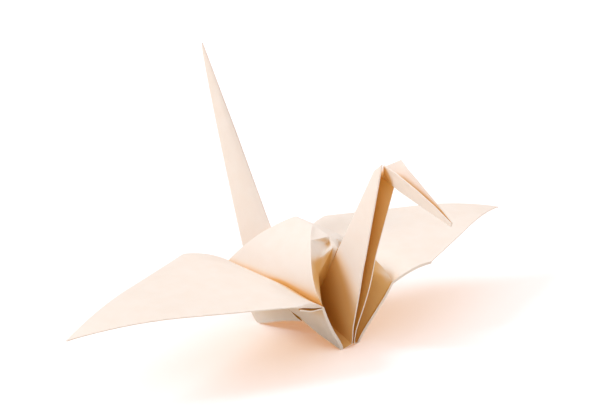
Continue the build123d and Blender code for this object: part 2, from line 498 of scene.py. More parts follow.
@dataclass(frozen=True)
class Pockets:
    """Paper between the hump and the neck, and between the hump and the tail.

    The front one is crumpled where the body was puffed up; the rear one is drawn tight. Each facet
    names its corners, rim0 to rim4 being those on the hump's edge, and its sides that stay sharp.
    """

    pose: Pose
    hump: Hump
    side: Side
    cells: int = 10
    heel_run: float = 0.0195

    def creases(self) -> dict[str, Vector]:
        """Named ends of the creases of the crumpled pocket.

        Returns:
            The points by name.
        """
        at, centred = self.pose.points, self.pose.centred
        found = {f"rim{index}": point for index, point in enumerate(self.hump.rim(1.0)[:: self.cells])}
        found["valley"], found["foot"] = at["front_valley"], at["front_foot"]
        found["ridge"] = centred(0.00769, 0, 0.02638)
        found["throat"] = centred(0.01066, 0, 0.02406)
        if self.side is Side.NEAR:
            found["under_lip"] = centred(0.00731, -0.00016, 0.02456)
            found["knee"] = centred(0.00938, -0.0042, 0.02259)
            found["cheek"] = centred(0.00959, -0.0007, 0.02409)
            found["pinch"] = centred(0.00924, -0.00443, 0.01864)
            found["cleft"] = centred(0.00714, 0, 0.01704)
        else:
            found["dent"] = centred(0.0088, -0.0016, 0.0256)
            found["pinch"] = centred(0.00858, -0.004, 0.0183)
        return found

    def table(self) -> tuple[tuple[str, str], ...]:
        """Facets of the crumpled pocket on this side.

        Returns:
            The corners' names and the sharp sides of each facet.
        """
        if self.side is Side.NEAR:
            return (
                ("rim3 rim4 ridge", "01 12 20"),
                ("rim3 ridge under_lip", "01"),
                ("rim3 under_lip knee", ""),
                ("rim2 rim3 knee", "01"),
                ("rim2 knee pinch", ""),
                ("rim1 rim2 pinch", "01"),
                ("under_lip cheek knee", ""),
                ("knee cheek pinch", ""),
                ("ridge cheek under_lip", ""),
                ("ridge throat cheek", "01"),
                ("cheek throat cleft", "12"),
                ("cheek cleft pinch", "20"),
                ("rim0 rim1 pinch", "01"),
                ("pinch cleft valley", "12"),
                ("pinch valley rim0", ""),
                ("rim0 foot valley", "01 12"),
            )
        return (
            ("rim3 rim4 ridge", "01 12"),
            ("rim2 rim3 dent", "01"),
            ("rim1 rim2 pinch", "01"),
            ("rim0 rim1 pinch", "01"),
            ("rim3 dent ridge", ""),
            ("rim2 pinch dent", ""),
            ("ridge dent throat", "20"),
            ("dent pinch throat", ""),
            ("pinch valley throat", "12"),
            ("pinch rim0 valley", ""),
            ("rim0 foot valley", "01 12"),
        )

    def front(self) -> Leaf:
        """The crumpled pocket.

        Returns:
            Its layer, whose facets follow the hump's edge where they meet it.
        """
        found, curve, leaf = self.creases(), self.hump.rim(1.0), Leaf()
        for names, pinned in self.table():
            first, second, third = names.split()
            bent: list[Vector] = []
            if first.startswith("rim") and second.startswith("rim"):
                start = int(first[3:]) * self.cells
                bent = curve[start : start + self.cells + 1]
            leaf.facet([found[first], found[second], found[third]], self.cells, bent, pinned)
        return leaf

    def rear(self) -> Leaf:
        """The tight pocket.

        Returns:
            Its layer, a fan of facets around a point low on the tail.
        """
        valley, foot = self.pose.points["rear_valley"], self.pose.points["rear_foot"]
        curve = self.hump.rim(0.0)
        rim = curve[:: self.cells]
        heel = self.pose.spoke("rear_valley", self.pose.tail_angle, self.heel_run)
        leaf = Leaf()
        for index, (low, high) in enumerate(zip(rim, rim[1:])):
            start = index * self.cells
            pinned = "01 12" if high is rim[-1] else "01"
            leaf.facet((low, high, heel), self.cells, curve[start : start + self.cells + 1], pinned)
        leaf.facet((rim[0], heel, valley), self.cells, (), "12")
        leaf.facet((rim[0], valley, foot), self.cells, (), "12 20")
        return leaf


@dataclass(frozen=True)
class Wing:
    """Wing: it rises from its fold, levels out and droops towards the tip.

    Next to the root, the layers at its front edge may have opened into a rolled lip.
    """

    pose: Pose
    tip_shift: Vector
    lip_height: float
    rise: float = 31.8
    root_run: float = 0.0142
    root_turn: float = 31.4
    level_run: float = 0.02325
    tip_radius: float = 0.09
    sweep: float = -0.042
    lip_roll: float = 0.0011
    lip_gape: float = 0.00135
    lip_run: float = 0.0155
    lip_margin: float = 1.1
    lip_depth: float = 0.35
    lip_lean: float = 0.85
    lip_roundness: float = 1.3
    cells_across: int = 30
    cells_along: int = 62
    cells_small: int = 8

    def bend(self) -> Bend:
        """Profile of the wing along its middle line.

        Returns:
            The bent panel: a root that turns down, a level part and a drooping tip.
        """
        points = self.pose.points
        droop = self.pose.base.tip_run - self.root_run - self.level_run
        turn = degrees(droop / self.tip_radius)
        legs = ((self.root_run, self.root_turn), (self.level_run, 0.0), (droop, turn))
        return Bend(points["hinge"], points["hinge_x"], -points["level"], self.rise, legs, self.sweep)

    def half_width(self, run: float, end: End) -> float:
        """Half the wing's width.

        Args:
            run: length from the wing's fold.
            end: the edge that is meant.

        Returns:
            The width from the middle line to that edge.
        """
        base = self.pose.base
        root = self.pose.hinge_front if end is End.FRONT else base.hinge_half
        shoulder = base.shoulder_run - base.hinge_run
        if run < shoulder:
            return root + (base.shoulder_half - root) * run / shoulder
        return base.shoulder_half * (base.tip_run - run) / (base.tip_run - shoulder)

    def place(self, across: float, run: float, lift: float) -> Vector:
        """Point of the wing: across and run are lengths on the flat paper."""
        point = self.bend().place(across, run, lift)
        return point + self.tip_shift * (run / self.pose.base.tip_run) ** 2

    def lip(self, share: float, run: float) -> float:
        """How far the layers have opened at a place.

        Args:
            share: 0 on the middle line, 1 at the front edge.
            run: length from the wing's fold.

        Returns:
            The share of the lip's full height.
        """
        if not self.lip_height:
            return 0.0
        edge = max(0.0, 1 - (1 - share) / self.lip_depth)
        swell = max(0.0, sin(pi * min(run / self.lip_run, 1.0) ** self.lip_lean))
        return swell**self.lip_roundness * edge**2

    def rows(self) -> list[float]:
        """Shares of the grid's rows, from the fold to the tip, one of them at the wide corners.

        Returns:
            The shares in order.
        """
        base = self.pose.base
        shoulder = base.shoulder_run - base.hinge_run
        inner = round(self.cells_along * shoulder / base.tip_run)
        outer = self.cells_along - inner
        runs = [shoulder * index / inner for index in range(inner)]
        runs += [shoulder + (base.tip_run - shoulder) * index / outer for index in range(outer + 1)]
        return [run / base.tip_run for run in runs]

    def top(self) -> Leaf:
        """The plain upper layer.

        Returns:
            The layer, with its front edge rolled under along the lip.
        """
        base = self.pose.base

        def place(share: float, row: float) -> Vector:
            """Point of the layer.

            Args:
                share: 0 at the rear edge, 1 at the front edge.
                row: 0 on the fold, 1 at the tip.

            Returns:
                The point.
            """
            run = row * base.tip_run
            rear, front = -self.half_width(run, End.REAR), self.half_width(run, End.FRONT)
            lift = self.lip_height * self.lip(2 * share - 1, run)
            return self.place(rear + (front - rear) * share, run, lift)

        def roll(turn: float, row: float) -> Vector:
            """Point of the rolled edge.

            Args:
                turn: 0 on the upper side, 1 on the underside.
                row: 0 on the fold, 1 at the tip.

            Returns:
                The point.
            """
            run = row * base.tip_run
            opened = self.lip(1.0, run)
            radius = max(self.lip_roll * opened, base.ply) / 2
            across = self.half_width(run, End.FRONT) + radius * sin(pi * turn)
            return self.place(across, run, self.lip_height * opened - radius * (1 - cos(pi * turn)))

        rows, leaf = self.rows(), Leaf()
        leaf.grid(place, steps(self.cells_across), rows)
        if self.lip_height:
            opened_rows = [row for row in rows if row * base.tip_run < self.lip_run * self.lip_margin]
            leaf.grid(roll, steps(self.cells_small), opened_rows)
        return leaf

    def under(self) -> Leaf:
        """The underside.

        Returns:
            Its two raw-edged layers, which meet on the middle line.
        """
        base, leaf = self.pose.base, Leaf()
        for end in End:

            def place(share: float, row: float, end: End = end) -> Vector:
                """Point of the layer on one hand.

                Args:
                    share: 0 at the middle line, 1 at the wing's edge.
                    row: 0 on the fold, 1 at the tip.
                    end: the hand.

                Returns:
                    The point.
                """
                run, seam = row * base.tip_run, base.seam / 2
                width = max(self.half_width(run, end), seam)
                sag = self.lip_roll / 2 * self.lip(end.value * share, run)
                return self.place(end.value * (seam + (width - seam) * share), run, -base.ply - sag)

            leaf.grid(place, steps(self.cells_across // 2), self.rows())
        return leaf

    def root_flaps(self) -> Leaf:
        """Ends of the narrowing flaps, folded up with the wing under its root.

        Returns:
            Their layer.
        """
        base, leaf = self.pose.base, Leaf()
        shoulder = base.shoulder_run - base.hinge_run
        rise = base.hinge_run - base.flap_run
        for end in End:

            def place(share: float, row: float, end: End = end) -> Vector:
                """Point of the flap on one hand.

                Args:
                    share: 0 at the flap's slanting inner edge, 1 at the wing's edge.
                    row: 0 on the fold, 1 at the wing's wide corner.
                    end: the hand.

                Returns:
                    The point.
                """
                run = row * shoulder
                inner, outer = rise + (base.shoulder_half - rise) * row, self.half_width(run, end)
                across = inner + (outer - inner) * share
                sag = self.lip_gape * self.lip(end.value * across / outer, run)
                return self.place(end.value * across, run, -base.pressed - sag)

            leaf.grid(place, steps(self.cells_small), steps(self.cells_small))
        return leaf


@dataclass(frozen=True)
class Wall:
    """Side of the body below the wing: an inner leaf and two flaps outside it.

    The layers meet on the middle line, and gape in a narrow slit above the arch between the feet.
    The places of the slit's and the arch's tops count from where the flaps meet, and the lifts of
    the two flaps count in plies.
    """

    pose: Pose
    slit_top: tuple[float, float] = (0.0015, -0.0013)
    arch_top: tuple[float, float] = (0.0045, -0.0031)
    slit_middle: float = 0.6
    slit_gape: float = 0.0011
    arch_gape: float = 0.0005
    seam: float = 0.00006
    front_lift: float = 2.5
    rear_lift: float = 2.75
    cells: int = 16

    @property
    def meeting(self) -> Vector:
        """Place on the flat sheet where the flaps meet."""
        return Vector((0, self.pose.base.flap_run))

    def feet(self) -> dict[End, tuple[Vector, Vector]]:
        """Outer corners of the two parts on the flat sheet.

        Returns:
            The foot and the end of the wing's fold, at each end.
        """
        pose, base = self.pose, self.pose.base
        front, rear = pose.front_foot_share * base.side, pose.rear_foot_share * base.side
        front_foot = Vector((base.narrowing * front + pose.front_toe, front))
        rear_foot = Vector((-base.narrowing * rear, rear))
        return {
            End.FRONT: (front_foot, pose.on_hinge(pose.hinge_front)),
            End.REAR: (rear_foot, pose.on_hinge(-base.hinge_half)),
        }

    def inner_edge(self, end: End) -> list[Vector]:
        """Edge of one part on the flat sheet along the slit.

        Args:
            end: the front or the rear part.

        Returns:
            Its corners, from the arch to the wing's fold.
        """
        top, arch = self.meeting + Vector(self.slit_top), self.meeting + Vector(self.arch_top)
        down = (arch - top).normalized()
        apart = Vector((-down.y, down.x)) * end.value
        mouth = arch + apart * (self.arch_gape / 2)
        middle = blend(top, arch, self.slit_middle) + apart * (self.slit_gape / 2)
        seam = Vector((end.value * self.seam / 2, 0))
        rise = self.pose.base.hinge_run - self.pose.base.flap_run
        return [mouth, middle, top + seam / 2, self.meeting + seam, self.pose.on_hinge(end.value * rise)]

    def patch(self, outer: Sequence[Vector], inner: Sequence[Vector], lift: float) -> Leaf:
        """Flat layer between two chains of places on the flat sheet.

        Args:
            outer: from the foot to the end of the wing's fold.
            inner: from the arch to the wing's fold.
            lift: height above the wall.

        Returns:
            The layer.
        """

        def place(share: float, run: float) -> Vector:
            """Point of the layer, at a share from the outer chain and a share up both of them."""
            flat = blend(along(outer, run), along(inner, run), share)
            return self.pose.on_wall(flat.x, flat.y, lift)

        leaf = Leaf()
        leaf.grid(place, steps(self.cells), corner_steps(inner, self.cells))
        return leaf

    def leaf(self) -> Leaf:
        """The inner leaf.

        Returns:
            The layer, in one piece above the slit.
        """
        leaf, closed = Leaf(), [self.meeting + Vector(self.slit_top), self.meeting, self.pose.on_hinge(0)]
        for end, outer in self.feet().items():
            leaf.join(self.patch(outer, self.inner_edge(end)[:2] + closed, 0.0))
        return leaf

    def flaps(self) -> Leaf:
        """The two flaps outside.

        Returns:
            Their layer; the rear flap lies a little higher than the front one.
        """
        leaf, lifts = Leaf(), {End.FRONT: self.front_lift, End.REAR: self.rear_lift}
        for end, outer in self.feet().items():
            leaf.join(self.patch(outer, self.inner_edge(end), lifts[end] * self.pose.base.ply))
        return leaf


@dataclass(frozen=True)
class Limb:
    """One half of the neck, the head or the tail: a pressed strip between its spine and its open edge."""

    spine: tuple[Vector, ...]
    edge: tuple[Vector, ...]
    bulge: Vector = Vector((0, 0, 0))
    puff: float = 0.0
    puff_slope: float = 0.16
    puff_lean: float = 0.6
    cells: int = 12
    rows: int = 40

    def leaf(self) -> Leaf:
        """The strip; its open edge may bow outwards, and it may be puffed up a little.

        Returns:
            Its layer.
        """

        def place(share: float, run: float) -> Vector:
            """Point of the strip.

            Args:
                share: 0 on the spine, 1 on the open edge.
                run: share of the way along both of them.

            Returns:
                The point.
            """
            spine, edge = along(self.spine, run), along(self.edge, run)
            bow = self.bulge * (sqrt(4 * run * (1 - run)) * share)
            height = min(self.puff, self.puff_slope * (edge - spine).length)
            puff = height * sin(pi * share**self.puff_lean)
            return blend(spine, edge, share) + bow - Vector((0, puff, 0))

        leaf = Leaf()
        leaf.grid(place, steps(self.cells), steps(self.rows))
        return leaf


@dataclass(frozen=True)
class Head:
    """Head folded down at the nape; its places count along the body, across it and up.

    The far half starts at the neck's own corners, and the near half inside the neck.
    """

    near_start: tuple[float, float, float] = (0.02494, 0.00144, 0.04402)
    near_crown: tuple[float, float, float] = (0.0288, -0.0025, 0.0488)
    throat: tuple[tuple[float, float, float], ...] = (
        (0.02942, 0.0, 0.04355),
        (0.0315, 0.0, 0.0427),
        (0.03626, 0.0, 0.04125),
        (0.04249, 0.0, 0.03945),
        (0.0474, 0.0, 0.038),
    )
    brow: tuple[tuple[float, float, float], ...] = (
        (0.03218, -0.002, 0.04746),
        (0.03473, -0.0017, 0.04618),
        (0.0377, -0.0012, 0.04461),
        (0.04302, -0.0006, 0.04169),
        (0.0476, -0.0002, 0.0388),
    )
    rows: int = 36

    def limb(self, pose: Pose, side: Side) -> Limb:
        """One half of the head.

        Args:
            pose: gives the neck's corners.
            side: the half.

        Returns:
            Its strip, drawn for the near side.
        """
        start, crown = pose.points["nape"], pose.points["crown"]
        if side is Side.NEAR:
            start, crown = pose.centred(*self.near_start), pose.centred(*self.near_crown)
        throat = tuple(pose.centred(*place) for place in self.throat)
        brow = tuple(pose.centred(*place) for place in self.brow)
        return Limb((start, *throat), (crown, *brow), rows=self.rows)


@dataclass(frozen=True)
class Paper:
    """Uncoated cream paper: soft mottling, a short-fibred grain and slightly worn folds.

    Where it is sheltered between other leaves, painted shade and painted warm bounce light turn its colour
    amber, and umber in the deepest folds; each depth is the pair of shelters where a painted tint starts
    and is full.
    """

    name: str = "cream_paper"
    pale: tuple[float, float, float] = (0.95, 0.865, 0.79)
    warm: tuple[float, float, float] = (0.94, 0.84, 0.755)
    worn: tuple[float, float, float] = (0.96, 0.89, 0.83)
    painted_amber_shade: tuple[float, float, float] = (0.87, 0.53, 0.2)
    painted_umber_shade: tuple[float, float, float] = (0.72, 0.35, 0.05)
    through: tuple[float, float, float] = (1.0, 0.6, 0.33)
    thinness: float = 0.12
    painted_amber_depth: tuple[float, float] = (0.15, 0.45)
    painted_umber_depth: tuple[float, float] = (0.45, 0.9)
    mottle_size: float = 0.004
    mottle_detail: float = 4.0
    mottle_range: tuple[float, float] = (0.35, 0.65)
    grain_size: float = 0.00035
    grain_detail: float = 3.0
    wear: float = 0.5
    roughness: tuple[float, float] = (0.72, 0.88)
    gloss: float = 0.25
    bump_strength: float = 0.25
    bump_distance: float = 0.00006

    def grain_and_painted_shade_group(self) -> bpy.types.NodeTree:
        """Shader node group with the paper's mottling, grain, worn folds and painted shade in its deep
        folds.

        Returns:
            The group, with a colour, a roughness and a height that change over the surface.
        """
        group = bpy.data.node_groups.new("paper_grain_and_painted_shade", "ShaderNodeTree")
        for name in ("Mottle Size", "Grain Size", "Wear"):
            group.interface.new_socket(name, in_out="INPUT", socket_type="NodeSocketFloat")
        for name in ("Pale", "Warm", "Worn", "Painted Amber Shade", "Painted Umber Shade"):
            group.interface.new_socket(name, in_out="INPUT", socket_type="NodeSocketColor")
        for name, kind in (("Color", "Color"), ("Roughness", "Float"), ("Height", "Float")):
            group.interface.new_socket(name, in_out="OUTPUT", socket_type=f"NodeSocket{kind}")
        nodes, links = group.nodes, group.links
        given, result = nodes.new("NodeGroupInput"), nodes.new("NodeGroupOutput")
        place = nodes.new("ShaderNodeTexCoord")

        def calculation(
            kind: str, first: bpy.types.NodeSocket | float, second: bpy.types.NodeSocket
        ) -> bpy.types.NodeSocket:
            """Result of a sum, a product or a division.

            Args:
                kind: which of them.
                first: a plain number or another node's value.
                second: another node's value.

            Returns:
                The result.
            """
            node = nodes.new("ShaderNodeMath")
            node.operation = kind
            if isinstance(first, float):
                node.inputs[0].default_value = first
            else:
                links.new(first, node.inputs[0])
            links.new(second, node.inputs[1])
            return node.outputs[0]

        def noise(size: bpy.types.NodeSocket, detail: float) -> bpy.types.NodeSocket:
            """Noise over the paper.

            Args:
                size: of its cells, in metres.
                detail: number of finer layers in it.

            Returns:
                The noise's value.
            """
            scale = calculation("DIVIDE", 1.0, size)
            texture = nodes.new("ShaderNodeTexNoise")
            texture.inputs["Detail"].default_value = detail
            links.new(place.outputs["Object"], texture.inputs["Vector"])
            links.new(scale, texture.inputs["Scale"])
            return texture.outputs["Fac"]

        def stretched(
            value: bpy.types.NodeSocket, start: tuple[float, float], end: tuple[float, float], curve: str
        ) -> bpy.types.NodeSocket:
            """Value moved from one range to another.

            Args:
                value: the value.
                start: its lowest and highest number.
                end: what they become.
                curve: LINEAR or SMOOTHSTEP.

            Returns:
                The new value.
            """
            node = nodes.new("ShaderNodeMapRange")
            node.interpolation_type = curve
            names = ("From Min", "From Max", "To Min", "To Max")
            for name, number in zip(names, (*start, *end)):
                node.inputs[name].default_value = number
            links.new(value, node.inputs["Value"])
            return node.outputs["Result"]

        def mixed(
            share: bpy.types.NodeSocket, first: bpy.types.NodeSocket, second: bpy.types.NodeSocket
        ) -> bpy.types.NodeSocket:
            """Mixture of two colours.

            Args:
                share: of the second colour.
                first: a colour.
                second: another one.

            Returns:
                The mixture.
            """
            node = nodes.new("ShaderNodeMix")
            node.data_type = "RGBA"
            links.new(share, node.inputs[0])
            links.new(first, node.inputs[6])
            links.new(second, node.inputs[7])
            return node.outputs[2]

        def kept(name: str) -> bpy.types.NodeSocket:
            """Value that the mesh keeps under a name.

            Args:
                name: of its attribute.

            Returns:
                The value.
            """
            node = nodes.new("ShaderNodeAttribute")
            node.attribute_name = name
            return node.outputs["Fac"]

        mottle = noise(given.outputs["Mottle Size"], self.mottle_detail)
        grain = noise(given.outputs["Grain Size"], self.grain_detail)
        wear = calculation("MULTIPLY", kept("fold"), given.outputs["Wear"])
        tint = stretched(mottle, self.mottle_range, (0.0, 1.0), "LINEAR")
        color = mixed(tint, given.outputs["Pale"], given.outputs["Warm"])
        color = mixed(wear, color, given.outputs["Worn"])
        # painted shade: the deeper a place lies in the folds, the more its colour is painted amber, then
        # umber
        shelter = kept("shelter")
        for name, depth in (("Painted Amber Shade", self.painted_amber_depth), ("Painted Umber Shade", self.painted_umber_depth)):
            share = stretched(shelter, depth, (0.0, 1.0), "SMOOTHSTEP")
            color = mixed(share, color, given.outputs[name])
        links.new(color, result.inputs["Color"])
        links.new(stretched(grain, (0.0, 1.0), self.roughness, "LINEAR"), result.inputs["Roughness"])
        links.new(calculation("ADD", grain, mottle), result.inputs["Height"])
        return group

    def material(self) -> bpy.types.Material:
        """The paper's material.

        Returns:
            The material; a thin share of the light goes through the sheet.
        """
        material = bpy.data.materials.new(self.name)
        material.use_nodes = True
        nodes, links = material.node_tree.nodes, material.node_tree.links
        shader = nodes["Principled BSDF"]
        shader.inputs["Specular IOR Level"].default_value = self.gloss
        grain = nodes.new("ShaderNodeGroup")
        grain.node_tree = self.grain_and_painted_shade_group()
        sizes = {"Mottle Size": self.mottle_size, "Grain Size": self.grain_size, "Wear": self.wear}
        for name, number in sizes.items():
            grain.inputs[name].default_value = number
        colors = {"Pale": self.pale, "Warm": self.warm, "Worn": self.worn}
        # colours of the painted shade in the sheltered folds
        colors |= {"Painted Amber Shade": self.painted_amber_shade, "Painted Umber Shade": self.painted_umber_shade}
        for name, color in colors.items():
            grain.inputs[name].default_value = (*color, 1.0)
        links.new(grain.outputs["Color"], shader.inputs["Base Color"])
        links.new(grain.outputs["Roughness"], shader.inputs["Roughness"])
        bump = nodes.new("ShaderNodeBump")
        bump.inputs["Strength"].default_value = self.bump_strength
        bump.inputs["Distance"].default_value = self.bump_distance
        links.new(grain.outputs["Height"], bump.inputs["Height"])
        links.new(bump.outputs["Normal"], shader.inputs["Normal"])
        leak, mix = nodes.new("ShaderNodeBsdfTranslucent"), nodes.new("ShaderNodeMixShader")
        leak.inputs["Color"].default_value = (*self.through, 1.0)
        mix.inputs[0].default_value = self.thinness
        links.new(shader.outputs[0], mix.inputs[1])
        links.new(leak.outputs[0], mix.inputs[2])
        links.new(mix.outputs[0], nodes["Material Output"].inputs["Surface"])
        return material


@dataclass(frozen=True)
class Finishing:
    """Turns the layers into real paper: opened creases, a slight cockle and its thickness."""

    material: bpy.types.Material
    soften: int = 3
    cockle_height: float = 0.00012
    cockle_size: float = 0.014
    cockle_detail: float = 1.0
    seed: float = 7.0
    weld: float = 0.000002
    same_place_digits: int = 5

    def tree(self) -> bpy.types.NodeTree:
        """Geometry node tree that opens the creases, cockles the sheet and gives it its finish.

        Returns:
            The tree, with its sizes as named inputs.
        """
        tree = bpy.data.node_groups.new("paper_layer", "GeometryNodeTree")
        tree.is_modifier = True
        kinds = {"Geometry": "Geometry", "Soften": "Int", "Cockle Height": "Float"}
        kinds |= {"Cockle Size": "Float", "Seed": "Float", "Material": "Material"}
        for name, kind in kinds.items():
            tree.interface.new_socket(name, in_out="INPUT", socket_type=f"NodeSocket{kind}")
        tree.interface.new_socket("Geometry", in_out="OUTPUT", socket_type="NodeSocketGeometry")
        nodes, links = tree.nodes, tree.links
        given, result = nodes.new("NodeGroupInput"), nodes.new("NodeGroupOutput")

        def attribute(name: str) -> bpy.types.NodeSocket:
            """Value kept at the layer's points.

            Args:
                name: of the attribute.

            Returns:
                The value.
            """
            node = nodes.new("GeometryNodeInputNamedAttribute")
            node.data_type = "FLOAT"
            node.inputs["Name"].default_value = name
            return node.outputs["Attribute"]

        def multiply(first: bpy.types.NodeSocket, second: bpy.types.NodeSocket) -> bpy.types.NodeSocket:
            """Product of two numbers.

            Args:
                first: a number.
                second: another one.

            Returns:
                Their product.
            """
            node = nodes.new("ShaderNodeMath")
            node.operation = "MULTIPLY"
            links.new(first, node.inputs[0])
            links.new(second, node.inputs[1])
            return node.outputs[0]

        place = nodes.new("GeometryNodeInputPosition")
        blur = nodes.new("GeometryNodeBlurAttribute")
        blur.data_type = "FLOAT_VECTOR"
        opened = nodes.new("GeometryNodeSetPosition")
        value = next(socket for socket in blur.inputs if socket.enabled and socket.name == "Value")
        links.new(place.outputs[0], value)
        links.new(given.outputs["Soften"], blur.inputs["Iterations"])
        links.new(attribute("soft"), blur.inputs["Weight"])
        links.new(given.outputs["Geometry"], opened.inputs["Geometry"])
        links.new(next(socket for socket in blur.outputs if socket.enabled), opened.inputs["Position"])
        size = nodes.new("ShaderNodeMath")
        size.operation = "DIVIDE"
        size.inputs[0].default_value = 1.0
        links.new(given.outputs["Cockle Size"], size.inputs[1])
        noise = nodes.new("ShaderNodeTexNoise")
        noise.noise_dimensions = "4D"
        noise.inputs["Detail"].default_value = self.cockle_detail
        links.new(size.outputs[0], noise.inputs["Scale"])
        links.new(given.outputs["Seed"], noise.inputs["W"])
        centred = nodes.new("ShaderNodeMath")
        centred.operation = "SUBTRACT"
        centred.inputs[1].default_value = 0.5
        links.new(noise.outputs["Fac"], centred.inputs[0])
        height = multiply(multiply(centred.outputs[0], given.outputs["Cockle Height"]), attribute("give"))
        normal = nodes.new("GeometryNodeInputNormal")
        offset = nodes.new("ShaderNodeVectorMath")
        offset.operation = "SCALE"
        links.new(normal.outputs[0], offset.inputs[0])
        links.new(height, offset.inputs["Scale"])
        cockled = nodes.new("GeometryNodeSetPosition")
        links.new(opened.outputs[0], cockled.inputs["Geometry"])
        links.new(offset.outputs[0], cockled.inputs["Offset"])
        real = nodes.new("GeometryNodeRealizeInstances")
        finish = nodes.new("GeometryNodeSetMaterial")
        links.new(cockled.outputs[0], real.inputs[0])
        links.new(real.outputs[0], finish.inputs["Geometry"])
        links.new(given.outputs["Material"], finish.inputs["Material"])
        links.new(finish.outputs[0], result.inputs[0])
        return tree

    def raw_object(self, name: str, leaf: Leaf) -> bpy.types.Object:
        """Plain mesh of a layer, welded where its patches meet.

        Args:
            name: the layer's name.
            leaf: its mesh; where patches meet, a crease that one of them holds stays held.

        Returns:
            The object.
        """
        places = [tuple(round(value, self.same_place_digits) for value in point) for point in leaf.points]
        held = {place for place, soft in zip(places, leaf.soft) if soft == 0.0}
        leaf.soft = [0.0 if place in held else 1.0 for place in places]
        mesh = bpy.data.meshes.new(name)
        mesh.from_pydata([tuple(point) for point in leaf.points], [], leaf.faces)
        for attribute in ("give", "soft", "fold"):
            layer = mesh.attributes.new(attribute, "FLOAT", "POINT")
            layer.data.foreach_set("value", getattr(leaf, attribute))
        welded = bmesh.new()
        welded.from_mesh(mesh)
        bmesh.ops.remove_doubles(welded, verts=welded.verts, dist=self.weld)
        bmesh.ops.recalc_face_normals(welded, faces=welded.faces)
        welded.to_mesh(mesh)
        welded.free()
        thing = bpy.data.objects.new(name, mesh)
        bpy.context.scene.collection.objects.link(thing)
        return thing

    def finish(
        self, tree: bpy.types.NodeTree, name: str, leaf: Leaf, thickness: float
    ) -> bpy.types.Object:
        """Builds a layer with its thickness.

        Args:
            tree: the geometry node tree.
            name: the layer's name.
            leaf: its mesh.
            thickness: of the layer, in metres.

        Returns:
            A plain mesh object.
        """
        thing = self.raw_object(name, leaf)
        cockle = thing.modifiers.new("paper_layer", "NODES")
        cockle.node_group = tree
        values = {"Soften": self.soften, "Cockle Height": self.cockle_height}
        values |= {"Cockle Size": self.cockle_size, "Seed": self.seed, "Material": self.material}
        for item in tree.interface.items_tree:
            if item.in_out == "INPUT" and item.name in values:
                cockle[item.identifier] = values[item.name]
        solid = thing.modifiers.new("thickness", "SOLIDIFY")
        solid.thickness = thickness
        solid.offset = 0.0
        evaluated = thing.evaluated_get(bpy.context.evaluated_depsgraph_get())
        mesh = bpy.data.meshes.new_from_object(evaluated)
        thing.modifiers.clear()
        thing.data = mesh
        return thing


@dataclass(frozen=True)
class Shelter:
    """Finds how deep in the folds each point lies, where the light is warm from the paper around; the
    paper's colour is painted with that shade.

    The value is the share of the directions around a point in which paper stands in the way. What
    stands high over it counts most, and what lies below it little, since that sends light back.
    """

    directions: int = 48
    reach: float = 0.03
    gap: float = 0.0003
    spread: int = 3
    fold_angle: float = 24.0
    below: float = 0.15

    def spiral(self) -> list[Vector]:
        """Even directions around Z, closer together near it.

        Returns:
            The directions, each of length 1.
        """
        found = []
        for index in range(self.directions):
            share = (index + 0.5) / self.directions
            angle = index * pi * (3 - sqrt(5))
            found.append(Vector((sqrt(share) * cos(angle), sqrt(share) * sin(angle), sqrt(1 - share))))
        return found

    def faces(self, mesh: bpy.types.Mesh) -> list[float]:
        """Values on the paper's faces.

        Args:
            mesh: the finished paper.

        Returns:
            The value of each face, 0 in the open and 1 in a closed fold.
        """
        corners = [vertex.co.copy() for vertex in mesh.vertices]
        tree = BVHTree.FromPolygons(corners, [tuple(face.vertices) for face in mesh.polygons])
        spiral, found = self.spiral(), []
        for face in mesh.polygons:
            turn = face.normal.to_track_quat("Z", "Y").to_matrix()
            start = face.center + face.normal * self.gap
            ways = [turn @ way for way in spiral]
            weights = [max(way.z, 0.0) + self.below for way in ways]
            hidden = [tree.ray_cast(start, way, self.reach)[0] is not None for way in ways]
            found.append(sum(weight for weight, hit in zip(weights, hidden) if hit) / sum(weights))
        return found

    def measure(self, mesh: bpy.types.Mesh) -> None:
        """Writes the values into the mesh as an attribute, smooth except across the folds.

        Args:
            mesh: the finished paper.
        """
        values = self.faces(mesh)
        normals, flat = [face.normal.copy() for face in mesh.polygons], cos(radians(self.fold_angle))
        around: list[list[int]] = [[] for _ in mesh.vertices]
        sides: dict[tuple[int, int], list[int]] = {}
        for face in mesh.polygons:
            for corner in face.vertices:
                around[corner].append(face.index)
            for side in face.edge_keys:
                sides.setdefault(side, []).append(face.index)
        pairs = [pair for pair in sides.values() if len(pair) == 2]
        pairs = [pair for pair in pairs if normals[pair[0]].dot(normals[pair[1]]) > flat]
        for _ in range(self.spread):
            total, count = list(values), [1] * len(values)
            for first, second in pairs:
                total[first] += values[second]
                total[second] += values[first]
                count[first] += 1
                count[second] += 1
            values = [value / number for value, number in zip(total, count)]
        found = []
        for face, normal in zip(mesh.polygons, normals):
            for corner in face.vertices:
                near = [values[index] for index in around[corner] if normals[index].dot(normal) > flat]
                found.append(sum(near) / len(near) if near else values[face.index])
        layer = mesh.attributes.new("shelter", "FLOAT", "CORNER")
        layer.data.foreach_set("value", found)


@dataclass(frozen=True)
class Push:
    """Soft push of the paper around a place, such as a thumb gives it."""

    place: tuple[float, float, float]
    shift: tuple[float, float, float]
    reach: float

    def apply(self, mesh: bpy.types.Mesh) -> None:
        """Moves the points within reach, the nearest ones most.

        Args:
            mesh: the paper.
        """
        place, shift = Vector(self.place), Vector(self.shift)
        for vertex in mesh.vertices:
            share = (vertex.co - place).length / self.reach
            if share < 1:
                vertex.co += shift * (1 - share**2) ** 2


